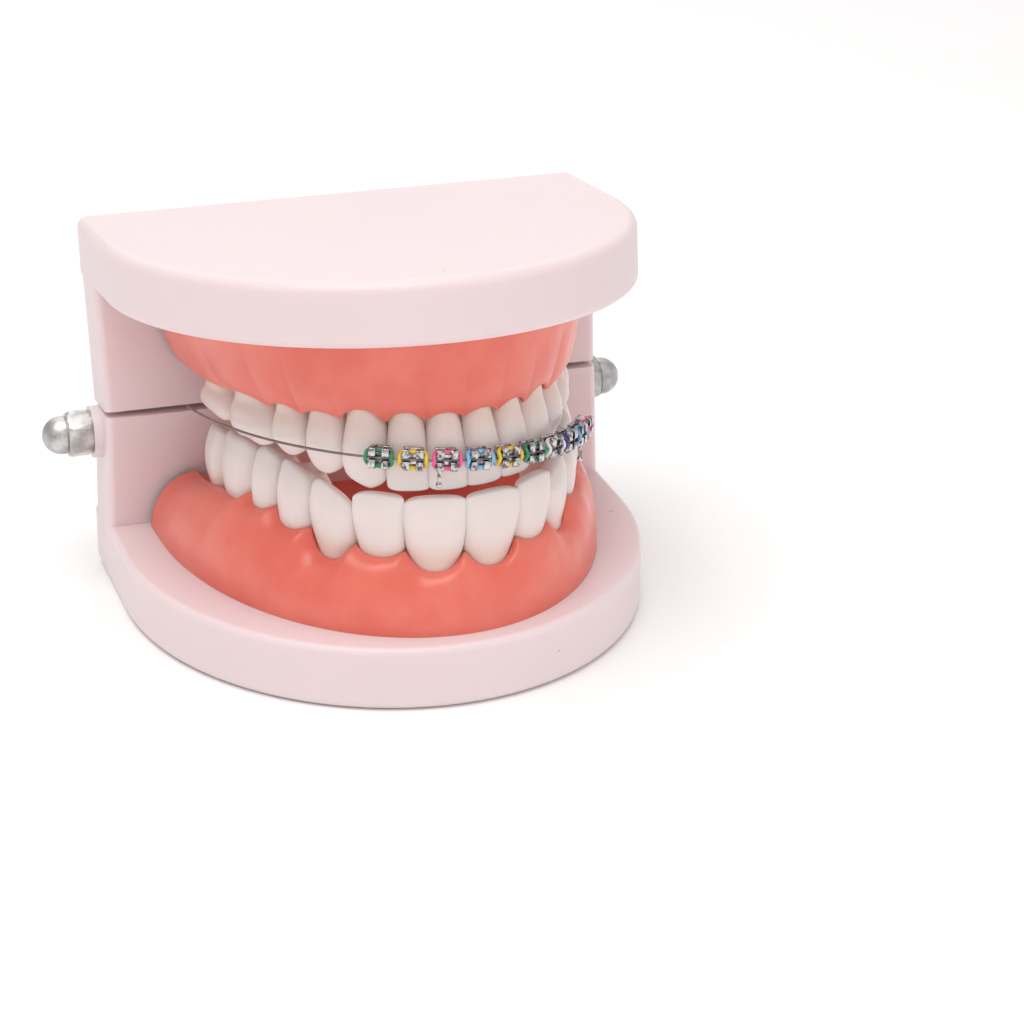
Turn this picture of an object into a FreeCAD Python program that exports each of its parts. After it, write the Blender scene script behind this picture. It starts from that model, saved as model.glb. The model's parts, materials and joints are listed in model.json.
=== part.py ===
"""Orthodontic typodont: two hinged D-shaped bases, gums, 28 teeth and a string of brackets.

Millimetres. X runs to the right seen from the front, Y to the back, Z up. The origin is the
middle of the flat rest face under the lower base. The model stands upside down, as it is often
kept: the lower half carries the wide-toothed maxillary arch, the upper half the mandibular one.
The upper half is drawn shut, face to face with the lower one, and then tilted back about the
hinge until the teeth just meet: the upper first molars on the lower second premolars.
"""
import FreeCAD, Part
import math
import os

# ---- driving dimensions: bases -----------------------------------------------------------
base_width = 85.0            # side to side, both bases
base_straight = 23.2         # straight stretch of each side, from the back face
base_front = 49.2            # depth of the half-ellipse in front of that stretch
lower_slab = 10.3            # thickness of the lower plate
upper_slab = 9.9             # thickness of the upper plate
wall_thickness = 11.0        # back wall, front to back
wall_draft = 0.6             # each side of a wall draws in by this much up to the parting
lower_wall_top = 29.2        # height of the lower wall's top face
upper_wall_height = 20.5     # upper wall, from the parting to the underside of its plate
parting_gap = 0.2            # between the two walls when shut
slab_edge_fillet = 1.6       # edge of each plate that faces away from the parting
slab_inner_fillet = 1.0      # edge of each plate that faces the gums
wall_edge_fillet = 1.2       # upright edges of the walls

# ---- driving dimensions: hinge -----------------------------------------------------------
lug_width = 48.0             # middle knuckle, part of the upper wall
lug_gap = 0.3                # all round the middle knuckle
rod_diameter = 4.0
knuckle_fit = 0.05           # radial, rod in the outer knuckles
running_fit = 0.10           # radial, rod in the middle knuckle
boss_height = 1.5            # round seat under the left nut
boss_set_in = 0.1            # edge of that seat, inside the round of the knuckle
nut_flats = 7.0              # across flats
nut_hex_height = 4.0
nut_length = 8.0             # hex and dome together
nut_dome_share = 0.45        # radius of the dome, as a share of the width across flats
nut_bore_depth = 5.6
nut_fit = 0.02               # radial, rod in nut
nut_chamfer = 0.5            # turned corners of the hexagon
rod_chamfer = 0.4            # ends of the rod, and their distance from the end of the bore
trap_depth = 1.9             # hex pocket that holds the right nut
trap_gap = 0.12              # all round the nut in its pocket
trap_cover = 0.22            # plastic above the pocket's upper corner
trap_back = 0.68             # plastic between the pocket and the back face
bite_tilt = 6.64             # upper half leans back by this angle when the teeth meet
overrun = 5.0                # cutting shapes reach this far past what they cut
seam = 1.0                   # joined shapes of one piece overlap by this much

# ---- driving dimensions: gums and arches -------------------------------------------------
arch_yaw = 2.4               # gums are glued in by hand, turned this far about the back middle
arch_inset = 21.0            # centre of the arch ellipses, in front of the back face
lower_arch_half = 29.7       # half width of the lower row of teeth, at their front faces
lower_arch_depth = 44.3
lower_arch_shift = 0.7       # sideways, from the middle of the base
lower_midline = -0.6         # gap between the central incisors, along the arch from its front
upper_arch_half = 30.0
upper_arch_depth = 43.2
upper_arch_shift = -0.3
upper_midline = 1.35
foot_half = 35.4             # gum where it meets its plate
foot_depth = 50.6
foot_inset = 18.0
foot_shift = -0.8
lower_gum_height = 10.0      # plate to ridge
upper_gum_height = 13.6
ridge_margin = 1.2           # gum outside the front faces of the teeth
ridge_width_side = 12.0      # width of the ridge at the molars
ridge_width_front = 9.4      # width of the ridge at the incisors
floor_thickness = 3.2        # gum left under the palate and under the tongue space
vault_slope = 4.0            # the inner sides of the gum lean in by this much
socket_depth = 5.0
socket_gap = 0.05            # all round the root of each tooth
tooth_gap = 0.12             # between neighbouring crowns
bite_height = 33.6           # ends of the lower second premolars, which carry the upper molars
bite_gap = 0.12              # between them at rest
bulge_share = 0.45           # widest part of a crown, as a share of its height
end_share = 0.86             # width of the biting end, as a share of the crown's width
corner_share = 0.20          # cut corners of a tooth's section, as a share of its smaller side
neck_rise = 0.3              # straight neck above the ridge

# Tooth kind: front-to-back depth at the neck, depth at the biting end, set-back of the biting
# end and of the neck from the front face, neck width as a share of the crown's width, and how
# far each side draws in towards the tongue, as a share of the width.
tooth_kinds = {
    "incisor": (5.2, 2.2, 0.3, 0.9, 0.74, 0.20),
    "canine": (6.4, 3.0, 0.4, 0.9, 0.72, 0.21),
    "premolar": (7.4, 5.6, 1.0, 0.9, 0.76, 0.14),
    "molar": (9.2, 7.6, 1.2, 1.0, 0.80, 0.09),
}
# Each row from the middle outwards: name, kind, width of the crown along the arch, and height
# of the biting end above the rest face. The upper half's heights are those of the rest pose.
lower_teeth = (
    ("central", "incisor", 9.8, 31.3),
    ("lateral", "incisor", 8.5, 31.4),
    ("canine", "canine", 8.8, 31.6),
    ("first_premolar", "premolar", 8.0, 32.9),
    ("second_premolar", "premolar", 6.9, bite_height),
    ("first_molar", "molar", 11.0, 32.4),
    ("second_molar", "molar", 8.7, 30.8),
)
upper_teeth = (
    ("central", "incisor", 6.3, 32.2),
    ("lateral", "incisor", 6.5, 32.2),
    ("canine", "canine", 7.6, 32.4),
    ("first_premolar", "premolar", 7.2, 33.5),
    ("second_premolar", "premolar", 7.3, 34.3),
    ("first_molar", "molar", 12.2, bite_height + bite_gap),
    ("second_molar", "molar", 10.7, 34.4),
)

# ---- driving dimensions: brackets and archwire -------------------------------------------
wire_diameter = 0.4
wire_half = 32.6             # half width of the bow of the wire
wire_depth = 45.6            # bow of the wire, front to back
wire_shift = 0.5
wire_height = 30.4           # middle of the bow, in the shut position
wire_roll = 4.6              # the bow's right side lies lower by this angle
wire_pitch = 0.6             # and its ends lie lower than its front by this one
wire_left_end = 60.0         # from the middle of the bow to the left end, along the wire
wire_right_end = 8.0         # from the last bracket to the right end, along the wire
bracket_count = 10
bracket_spacing = 0.52       # between neighbouring elastics, along the wire
first_bracket = -13.9        # first bracket, along the wire from the middle of the bow
bracket_width = 3.2
pad_height = 3.2
pad_thickness = 0.6
bracket_reach = 1.9          # wire centre to the bonded back of the pad
tower_half_height = 1.0
wing_reach = 0.7             # tie wing beyond the tower, up and down
slot_gap = 0.05              # above and below the wire in the slot
slot_floor_gap = 0.15        # behind the wire, which curves between the two ends of the slot
twin_gap = 0.8               # between the two pairs of wings
wing_front = 0.6             # front of the wings, in front of the wire's centre
wing_thickness = 0.7
elastic_thickness = 0.7      # across the ring's side
elastic_depth = 0.8          # front to back
elastic_gap = 0.02
elastic_set_back = 0.4       # front of the ring, behind the wire's centre
elastic_corner = 0.6         # rounding of the ring's outer corners
hook_length = 2.0
hook_ball_radius = 0.42
hook_post_radius = 0.22
hooked_brackets = (3, 9)     # brackets with a ball hook below

# ---- worked out from the above -----------------------------------------------------------
back = (base_straight + base_front) / 2          # Y of the back face
nut_corner_radius = nut_flats / math.sqrt(3)
nut_dome_radius = nut_dome_share * nut_flats
trap_flats = nut_flats + 2 * trap_gap
hinge_drop = trap_flats / math.sqrt(3) + trap_cover      # axis below the wall's top face
hinge_inset = trap_flats / 2 + trap_back                 # axis in front of the back face
boss_radius = hinge_drop - boss_set_in
wall_front = back - wall_thickness
axis_y = back - hinge_inset
axis_z = lower_wall_top - hinge_drop
upper_wall_foot = lower_wall_top + parting_gap
upper_plate = upper_wall_foot + upper_wall_height        # underside of the upper plate
top = upper_plate + upper_slab
half_width = base_width / 2
rod_radius = rod_diameter / 2
lower_ridge = lower_slab + lower_gum_height
upper_ridge = upper_plate - upper_gum_height
knuckle_side = half_width - wall_draft * axis_z / lower_wall_top     # wall side at the axis
left_nut_seat = -(knuckle_side + boss_height)
right_nut_seat = knuckle_side - trap_depth
bracket_pitch = bracket_width + 2 * (elastic_gap + elastic_thickness) + bracket_spacing
sine = math.sin(math.radians(bite_tilt))
cosine = math.cos(math.radians(bite_tilt))


def vec(x, y, z):
    return FreeCAD.Vector(x, y, z)


def box(x0, x1, y0, y1, z0, z1):
    return Part.makeBox(x1 - x0, y1 - y0, z1 - z0, vec(x0, y0, z0))


def bar(radius, x0, x1):
    """Cylinder along the hinge axis from x0 to x1."""
    return Part.makeCylinder(radius, x1 - x0, vec(x0, axis_y, axis_z), vec(1, 0, 0))


def bow_wire(half, depth, centre_y, centre_x, back_y, z):
    """Closed outline: a half-ellipse that bulges to the front, with straight legs to back_y."""
    left, right = centre_x - half, centre_x + half
    front = vec(centre_x, centre_y - depth, z)
    if depth > half:
        curve = Part.Ellipse(front, vec(right, centre_y, z), vec(centre_x, centre_y, z))
        arc = Part.Arc(curve, -math.pi / 2, math.pi / 2).toShape()
    else:
        curve = Part.Ellipse(vec(right, centre_y, z), front, vec(centre_x, centre_y, z))
        arc = Part.Arc(curve, 0, math.pi).toShape()
    legs = Part.makePolygon([vec(right, centre_y, z), vec(right, back_y, z),
                             vec(left, back_y, z), vec(left, centre_y, z)])
    return Part.Wire(Part.__sortEdges__([arc] + list(legs.Edges)))


def plate(z0, thickness, fillet_top, fillet_bottom):
    """D-shaped plate of one base, with its long edges rounded."""
    outline = bow_wire(half_width, base_front, back - base_straight, 0.0, back, z0)
    solid = Part.Face(outline).extrude(vec(0, 0, thickness))
    for z, radius in ((z0 + thickness, fillet_top), (z0, fillet_bottom)):
        rim = [e for e in solid.Edges if all(abs(v.Z - z) < 1e-6 for v in e.Vertexes)
               and not all(abs(v.Y - back) < 1e-6 for v in e.Vertexes)]
        solid = solid.makeFillet(radius, rim)
    return solid


def wall(z_plate, z_parting):
    """Back wall that draws in a little towards the parting, with rounded upright edges."""
    inner = half_width - wall_draft
    ends = []
    for z, half in ((z_plate, half_width), (z_parting, inner)):
        ends.append(Part.makePolygon([vec(-half, wall_front, z), vec(half, wall_front, z),
                                      vec(half, back, z), vec(-half, back, z),
                                      vec(-half, wall_front, z)]))
    solid = Part.makeLoft(ends, True, True)
    upright = [e for e in solid.Edges if abs(e.Vertexes[0].Z - e.Vertexes[-1].Z) > 1]
    return solid.makeFillet(wall_edge_fillet, upright)


def hexagon(flats, x0, x1):
    """Hexagonal bar along the hinge axis, with two flats facing front and back."""
    radius = flats / math.sqrt(3)
    corners = []
    for step in range(7):
        angle = math.radians(60 * step)
        corners.append(vec(x0, axis_y + radius * math.sin(angle), axis_z + radius * math.cos(angle)))
    return Part.Face(Part.makePolygon(corners)).extrude(vec(x1 - x0, 0, 0))


def make_lower_base():
    solid = plate(0.0, lower_slab, slab_inner_fillet, slab_edge_fillet)
    solid = solid.fuse(wall(lower_slab / 2, lower_wall_top))
    beyond = half_width + overrun
    behind, above = back + overrun, lower_wall_top + overrun
    corner = box(-beyond, beyond, axis_y, behind, axis_z, above)
    solid = solid.cut(corner.cut(bar(hinge_drop, -beyond, beyond)))
    solid = solid.fuse(bar(boss_radius, left_nut_seat, -knuckle_side + seam))
    reach = hinge_inset + lug_gap
    side = lug_width / 2 + lug_gap
    pocket = box(-side, side, axis_y - reach, behind, axis_z, above)
    pocket = pocket.fuse(bar(reach, -side, side))
    pocket = pocket.fuse(box(-side, side, axis_y, behind, axis_z - reach, axis_z))
    solid = solid.cut(pocket)
    solid = solid.cut(bar(rod_radius + knuckle_fit, -beyond, beyond))
    solid = solid.cut(hexagon(trap_flats, right_nut_seat, beyond))
    return solid.removeSplitter()


def make_upper_base():
    solid = plate(upper_plate, upper_slab, slab_edge_fillet, slab_inner_fillet)
    solid = solid.fuse(wall(upper_plate + upper_slab / 2, upper_wall_foot))
    side = lug_width / 2
    lug = bar(hinge_inset, -side, side)
    lug = lug.fuse(box(-side, side, axis_y - hinge_inset, back, axis_z, upper_wall_foot + seam))
    solid = solid.fuse(lug)
    solid = solid.cut(bar(rod_radius + running_fit, -side - overrun, side + overrun))
    return solid.removeSplitter()


def make_hinge_rod():
    reach = nut_bore_depth - rod_chamfer
    rod = bar(rod_radius, left_nut_seat - reach, right_nut_seat + reach)
    return rod.makeChamfer(rod_chamfer, [rod.Edges[0], rod.Edges[2]])


def cap_nut(seat, outward):
    """Acorn nut: a hexagon with turned corners, a smaller dome and a blind bore."""
    hex_end = seat + outward * nut_hex_height
    body = hexagon(nut_flats, min(seat, hex_end), max(seat, hex_end))
    mid = (seat + hex_end) / 2
    turned = []
    for x, radius in ((seat, nut_corner_radius - nut_chamfer), (mid, nut_corner_radius + nut_chamfer),
                      (hex_end, nut_corner_radius - nut_chamfer)):
        turned.append(Part.Wire(Part.makeCircle(radius, vec(x, axis_y, axis_z), vec(1, 0, 0))))
    body = body.common(Part.makeLoft(turned, True, True))
    dome_centre = seat + outward * (nut_length - nut_dome_radius)
    inside = hex_end - outward * seam
    dome = bar(nut_dome_radius, min(inside, dome_centre), max(inside, dome_centre))
    dome = dome.fuse(Part.makeSphere(nut_dome_radius, vec(dome_centre, axis_y, axis_z)))
    bore_end = seat + outward * nut_bore_depth
    bore = bar(rod_radius + nut_fit, min(seat, bore_end), max(seat, bore_end))
    return body.fuse(dome).cut(bore).removeSplitter()


def make_cap_nuts():
    return Part.makeCompound([cap_nut(left_nut_seat, -1), cap_nut(right_nut_seat, 1)])


def turn_arch(shape):
    """Turn a gum, a tooth or the wire by the yaw of the arches, about the back middle."""
    shape.rotate(vec(0, back, 0), vec(0, 0, 1), arch_yaw)
    return shape


def tilt_back(shape):
    """Lean a piece of the upper half back until the teeth just meet."""
    shape.rotate(vec(0, axis_y, axis_z), vec(-1, 0, 0), bite_tilt)
    return shape


def shut_height(level):
    """Function that gives, over a point of the arch, the shut height of a level at rest."""
    yaw = math.radians(arch_yaw)

    def height(point):
        y = back + (point.y - back) * math.cos(yaw) + point.x * math.sin(yaw)
        return axis_z + (level - axis_z + sine * (y - axis_y)) / cosine

    return height


def arch_angle(half, depth, station):
    """Ellipse parameter, from the front, at a length along the arch, and the length left over."""
    step = math.pi / 8000
    length, angle = 0.0, 0.0
    while length < abs(station) and angle < math.pi / 2:
        length += math.hypot(half * math.cos(angle), depth * math.sin(angle)) * step
        angle += step
    return math.copysign(angle, station), max(0.0, abs(station) - length)


def walk_arch(half, depth, shift, stations):
    """Places on an arch at given lengths from its front: point, tangent, normal, curvature."""
    places = []
    for station in stations:
        angle, beyond = arch_angle(half, depth, station)
        point = vec(shift + half * math.sin(angle),
                    back - arch_inset - depth * math.cos(angle) + beyond, 0)
        tangent = vec(half * math.cos(angle), depth * math.sin(angle), 0)
        curvature = 0.0 if beyond > 0 else half * depth / tangent.Length ** 3
        tangent.normalize()
        places.append((point, tangent, vec(tangent.y, -tangent.x, 0), curvature))
    return places


def tooth_stations(teeth):
    """Length along the arch from the middle to the centre of each tooth of one side."""
    stations, reach = [], 0.0
    for name, kind, width, end_height in teeth:
        stations.append(reach + width / 2)
        reach += width
    return stations


def section(place, width, front, depth, draw_in, height):
    """Eight-cornered section of a tooth. Height is a number or a function of the point."""
    point, tangent, normal, curvature = place
    cut = corner_share * min(width, depth)
    half = width / 2 * (1 - curvature * cut)
    inner = half - draw_in * width
    outline = ((-half, cut), (-half + cut, 0), (half - cut, 0), (half, cut),
               (inner, depth - cut), (inner - cut, depth),
               (-inner + cut, depth), (-inner, depth - cut))
    corners = []
    for along, inward in outline:
        corner = point + tangent * along - normal * (front + inward)
        corner.z = height(corner) if callable(height) else height
        corners.append(corner)
    return Part.makePolygon(corners + [corners[0]])


def tooth(place, kind, width, end_height, ridge, up):
    """One tooth: a straight root, a neck at the ridge and a crown that ends on the bite."""
    neck_depth, end_depth, end_back, neck_back, neck_share, draw_in = tooth_kinds[kind]
    crown = width - tooth_gap
    neck = crown * neck_share
    end = end_height if up > 0 else shut_height(end_height)
    reach = abs((end if up > 0 else end(place[0])) - ridge)
    sections = [
        section(place, neck, neck_back, neck_depth, draw_in, ridge - up * socket_depth),
        section(place, neck, neck_back, neck_depth, draw_in, ridge + up * neck_rise),
        section(place, crown, 0.0, neck_depth + neck_back / 2, draw_in,
                ridge + up * bulge_share * reach),
        section(place, crown * end_share, end_back, end_depth, draw_in, end),
    ]
    return Part.makeLoft(sections, True, True)


def socket(place, kind, width, ridge, up):
    """Hole in the gum for the root of one tooth."""
    neck_depth, end_depth, end_back, neck_back, neck_share, draw_in = tooth_kinds[kind]
    neck = (width - tooth_gap) * neck_share + 2 * socket_gap
    outline = section(place, neck, neck_back - socket_gap, neck_depth + 2 * socket_gap, draw_in,
                      ridge - up * socket_depth)
    return Part.Face(outline).extrude(vec(0, 0, up * (socket_depth + overrun)))


def arch_teeth(prefix, teeth, half, depth, shift, midline, ridge, up):
    """All 14 teeth and their sockets: {name: (tooth, socket)}."""
    pieces = {}
    for side, sign in (("left", -1), ("right", 1)):
        stations = [midline + sign * s for s in tooth_stations(teeth)]
        places = walk_arch(half, depth, shift, stations)
        for (name, kind, width, end_height), place in zip(teeth, places):
            solid = tooth(place, kind, width, end_height, ridge, up)
            hole = socket(place, kind, width, ridge, up)
            pieces["%s_%s_%s" % (prefix, side, name)] = (solid, hole)
    return pieces


def gum(plate_z, ridge, half, depth, shift, holes):
    """Horseshoe of gum on its plate, open at the back wall, with a socket for each tooth."""
    behind = back + overrun
    centre_y = back - arch_inset
    up = 1.0 if ridge > plate_z else -1.0
    foot = bow_wire(foot_half, foot_depth, back - foot_inset, foot_shift, behind, plate_z)
    crest = bow_wire(half + ridge_margin, depth + ridge_margin, centre_y, shift, behind, ridge)
    solid = Part.makeLoft([foot, crest], True, True)
    inner_half = half + ridge_margin - ridge_width_side
    inner_depth = depth + ridge_margin - ridge_width_front
    floor = plate_z + up * floor_thickness
    low = bow_wire(inner_half - vault_slope, inner_depth - vault_slope, centre_y, shift,
                   behind + seam, floor)
    high = bow_wire(inner_half, inner_depth, centre_y, shift, behind + seam, ridge + up * seam)
    solid = solid.cut(Part.makeLoft([low, high], True, True))
    for hole in holes:
        solid = solid.cut(hole)
    turn_arch(solid)
    return solid.cut(box(-base_width, base_width, wall_front, back + base_width, 0, top))


def lay_bow(shape):
    """Lift a piece of the brace from the flat plane of its bow to its place on the teeth."""
    front = vec(wire_shift, back - arch_inset - wire_depth, 0)
    shape.rotate(front, vec(0, 1, 0), wire_roll)
    shape.rotate(front, vec(1, 0, 0), -wire_pitch)
    shape.translate(vec(0, 0, wire_height))
    return tilt_back(turn_arch(shape))


def bracket_stations():
    return [first_bracket + bracket_pitch * index for index in range(bracket_count)]


def make_archwire():
    """Bow of round spring wire, an elliptical arc laid across the upper teeth."""
    centre = vec(wire_shift, back - arch_inset, 0)
    bow = Part.Ellipse(centre + vec(0, -wire_depth, 0), centre + vec(wire_half, 0, 0), centre)
    left = arch_angle(wire_half, wire_depth, -wire_left_end)[0]
    right = arch_angle(wire_half, wire_depth, bracket_stations()[-1] + wire_right_end)[0]
    path = Part.Wire(Part.Arc(bow, left, right).toShape())
    start = walk_arch(wire_half, wire_depth, wire_shift, [-wire_left_end])[0]
    ring = Part.Wire(Part.makeCircle(wire_diameter / 2, start[0], start[1]))
    return lay_bow(path.makePipeShell([ring], True, False))


def make_bracket(place, hooked):
    """Twin bracket: bonded pad, tower with a slot for the wire, and four tie wings."""
    half = bracket_width / 2
    wire = wire_diameter / 2
    pad_front = bracket_reach - pad_thickness
    crown = tower_half_height + wing_reach
    body = box(-half, half, pad_front, bracket_reach, -pad_height / 2, pad_height / 2)
    tower = tower_half_height
    wing_back = wing_thickness - wing_front
    body = body.fuse(box(-half, half, -wing_front, pad_front, -tower, tower))
    body = body.fuse(box(-half, half, -wing_front, wing_back, -crown, crown))
    slot_floor = wire + slot_floor_gap
    slot_half = wire + slot_gap
    body = body.cut(box(-half, half, -wing_front, slot_floor, -slot_half, slot_half))
    body = body.cut(box(-twin_gap / 2, twin_gap / 2, -wing_front, slot_floor, -crown, crown))
    if hooked:
        x = -half + hook_ball_radius
        y = wing_back - wing_thickness / 2
        foot = -crown - hook_length
        post = Part.makeCylinder(hook_post_radius, hook_length + wing_reach / 2, vec(x, y, foot))
        ball = Part.makeSphere(hook_ball_radius, vec(x, y, foot))
        body = body.fuse(post).fuse(ball)
    return lay_bow(set_on_bow(body.removeSplitter(), place))


def make_ligature(place):
    """Elastic ring round the tower, under the wings."""
    half = bracket_width / 2 + elastic_gap
    high = tower_half_height + elastic_gap
    front, rear = elastic_set_back, elastic_set_back + elastic_depth
    wide = elastic_thickness
    outer = box(-half - wide, half + wide, front, rear, -high - wide, high + wide)
    corners = [e for e in outer.Edges if abs(e.Vertexes[0].Y - e.Vertexes[-1].Y) > 1e-6]
    outer = outer.makeFillet(elastic_corner, corners)
    inner = box(-half, half, front, rear, -high, high)
    return lay_bow(set_on_bow(outer.cut(inner), place))


def set_on_bow(shape, place):
    """Turn a piece drawn at the origin to face outwards at one place on the bow."""
    point, tangent = place[:2]
    shape.rotate(vec(0, 0, 0), vec(0, 0, 1), math.degrees(math.atan2(tangent.y, tangent.x)))
    shape.translate(point)
    return shape


def main():
    nodes = {
        "lower_base": make_lower_base(),
        "upper_base": tilt_back(make_upper_base()),
        "hinge_rod": make_hinge_rod(),
        "cap_nuts": make_cap_nuts(),
        "archwire": make_archwire(),
    }
    rows = (
        ("lower", lower_teeth, lower_arch_half, lower_arch_depth, lower_arch_shift,
         lower_midline, lower_slab, lower_ridge, 1.0),
        ("upper", upper_teeth, upper_arch_half, upper_arch_depth, upper_arch_shift,
         upper_midline, upper_plate, upper_ridge, -1.0),
    )
    for prefix, teeth, half, depth, shift, midline, plate_z, ridge, up in rows:
        row = arch_teeth(prefix, teeth, half, depth, shift, midline, ridge, up)
        holes = [hole for solid, hole in row.values()]
        pieces = {prefix + "_gum": gum(plate_z, ridge, half, depth, shift, holes)}
        for name, (solid, hole) in row.items():
            pieces[name] = turn_arch(solid)
        for name, solid in pieces.items():
            nodes[name] = tilt_back(solid) if up < 0 else solid
    places = walk_arch(wire_half, wire_depth, wire_shift, bracket_stations())
    for index, place in enumerate(places, start=1):
        nodes["bracket_%d" % index] = make_bracket(place, index in hooked_brackets)
        nodes["ligature_%d" % index] = make_ligature(place)
    os.makedirs("parts", exist_ok=True)
    for name, shape in nodes.items():
        shape.exportStep("parts/%s.step" % name)
        print(name, shape.isValid(), len(shape.Solids), round(shape.Volume, 2))


main()
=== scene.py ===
"""Looks of the hinged orthodontic typodont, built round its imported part.

Lengths are in metres in the part's own frame. The shapes of gums, teeth and brace are worked out
in millimetres first, because that is how such parts are drawn, and scaled where a mesh is made.
"""
import json
import math
import bpy
import numpy as np
from mathutils import Matrix, Vector


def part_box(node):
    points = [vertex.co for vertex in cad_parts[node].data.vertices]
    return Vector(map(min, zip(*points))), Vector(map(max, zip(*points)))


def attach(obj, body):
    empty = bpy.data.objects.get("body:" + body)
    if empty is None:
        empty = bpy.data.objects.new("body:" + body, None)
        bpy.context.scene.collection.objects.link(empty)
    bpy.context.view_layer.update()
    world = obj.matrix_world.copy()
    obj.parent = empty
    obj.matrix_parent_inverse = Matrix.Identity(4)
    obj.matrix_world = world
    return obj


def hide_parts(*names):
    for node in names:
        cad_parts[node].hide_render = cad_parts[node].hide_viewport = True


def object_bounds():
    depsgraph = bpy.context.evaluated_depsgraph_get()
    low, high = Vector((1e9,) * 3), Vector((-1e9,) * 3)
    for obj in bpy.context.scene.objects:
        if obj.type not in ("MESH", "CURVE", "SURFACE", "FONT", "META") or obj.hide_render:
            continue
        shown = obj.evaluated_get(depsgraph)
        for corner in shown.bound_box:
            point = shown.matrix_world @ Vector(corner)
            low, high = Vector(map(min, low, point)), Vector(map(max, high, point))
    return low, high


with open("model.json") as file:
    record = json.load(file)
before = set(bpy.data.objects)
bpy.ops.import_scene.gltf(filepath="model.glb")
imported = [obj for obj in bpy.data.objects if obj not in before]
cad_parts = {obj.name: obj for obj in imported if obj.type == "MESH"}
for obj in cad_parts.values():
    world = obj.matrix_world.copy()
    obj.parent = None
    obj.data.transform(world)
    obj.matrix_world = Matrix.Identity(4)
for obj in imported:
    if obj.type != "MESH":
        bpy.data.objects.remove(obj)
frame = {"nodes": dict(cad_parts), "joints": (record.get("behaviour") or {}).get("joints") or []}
cad_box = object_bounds()
scene = bpy.context.scene

# ---- table, light and view -------------------------------------------------------------
# The model stands on a plain pale table under a wide soft lamp, with weaker lamps in front and
# behind and a white room around it. The view is from in front, a little to the left and above.
azimuth, elevation = math.radians(-17.4548), math.radians(22.6893)
forward = Vector((-math.sin(azimuth) * math.cos(elevation),
                  math.cos(azimuth) * math.cos(elevation), -math.sin(elevation)))
camera = bpy.data.objects.new("camera", bpy.data.cameras.new("camera"))
camera.data.sensor_width = 36.0
camera.data.lens = 115.83
camera.data.clip_start = 0.02
camera.location = (-0.12877, -0.4702, 0.22148)
camera.rotation_euler = forward.to_track_quat("-Z", "Y").to_euler()
scene.collection.objects.link(camera)
scene.camera = camera
scene.view_settings.view_transform = "Standard"


def soft_lamp(name, place, size, watts, tint):
    """A square area lamp that looks at the middle of the model."""
    lamp = bpy.data.lights.new(name, "AREA")
    lamp.size, lamp.energy, lamp.color = size, watts, tint
    holder = bpy.data.objects.new(name, lamp)
    holder.location = place
    aim = Vector((0, 0, 0.03)) - Vector(place)
    holder.rotation_euler = aim.to_track_quat("-Z", "Y").to_euler()
    scene.collection.objects.link(holder)


soft_lamp("window", (-0.18, -0.16, 0.95), 0.7, 5.7, (1.0, 0.985, 0.97))
soft_lamp("fill", (0.75, -0.75, 0.45), 0.9, 0.9, (1.0, 0.97, 0.96))
soft_lamp("back_glow", (0.1, 0.8, 0.6), 0.8, 1.4, (0.97, 0.98, 1.0))
soft_lamp("front_low", (-0.12, -0.75, 0.10), 0.5, 0.40, (1.0, 0.97, 0.95))
# A faint lamp inside the mouth stands for the light that the thin translucent walls let through.
glow = bpy.data.lights.new("mouth_glow", "POINT")
glow.energy, glow.shadow_soft_size, glow.color = 0.003, 0.008, (1.0, 0.86, 0.80)
glow_holder = bpy.data.objects.new("mouth_glow", glow)
glow_holder.location = (0.001, -0.002, 0.031)
scene.collection.objects.link(glow_holder)
world = bpy.data.worlds.new("white_room")
world.use_nodes = True
world.node_tree.nodes["Background"].inputs["Color"].default_value = (1.0, 0.985, 0.98, 1.0)
world.node_tree.nodes["Background"].inputs["Strength"].default_value = 0.59
scene.world = world


class Signal:
    """One output of a shader node. Sums written on signals add the nodes that work them out."""

    def __init__(self, tree, socket):
        self.tree, self.socket = tree, socket

    def node(self, kind, settings, values, output=0):
        """Adds a node: its settings first, then numbers or links on its inputs."""
        made = self.tree.nodes.new("ShaderNode" + kind)
        for name, value in settings.items():
            setattr(made, name, value)
        for name, value in values.items():
            if isinstance(value, Signal):
                self.tree.links.new(value.socket, made.inputs[name])
            else:
                made.inputs[name].default_value = value
        return Signal(self.tree, made.outputs[output]) if made.outputs else None

    def maths(self, operation, first, second):
        return self.node("Math", {"operation": operation}, {0: first, 1: second})

    def __add__(self, other):
        return self.maths("ADD", self, other)

    def __sub__(self, other):
        return self.maths("SUBTRACT", self, other)

    def __rsub__(self, other):
        return self.maths("SUBTRACT", other, self)

    def __mul__(self, other):
        return self.maths("MULTIPLY", self, other)

    __radd__ = __add__
    __rmul__ = __mul__

    def between(self, low, high):
        """0 below low, 1 above high and a smooth rise in between."""
        return self.node("MapRange", {"interpolation_type": "SMOOTHSTEP"},
                         {"Value": self, "From Min": low, "From Max": high})

    def grain(self, per_metre, detail=2.0, roughness=0.5):
        """Noise from 0 to 1 over the surface, so many lumps to the metre."""
        return self.node("TexNoise", {}, {"Vector": self, "Scale": per_metre,
                                          "Detail": detail, "Roughness": roughness})

    def blend(self, first, second):
        """Colour that goes from first to second with this signal."""
        return self.node("Mix", {"data_type": "RGBA"}, {0: self, 6: first, 7: second}, 2)

    def bump(self, strength, depth):
        """Surface normal tilted by this signal as a height."""
        return self.node("Bump", {}, {"Strength": strength, "Distance": depth, "Height": self})


def new_finish(name):
    """A material and the signal of its piece's own coordinates."""
    material = bpy.data.materials.new(name)
    material.use_nodes = True
    material.node_tree.nodes.clear()
    tree = material.node_tree
    return material, Signal(tree, tree.nodes.new("ShaderNodeTexCoord").outputs["Object"])


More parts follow.
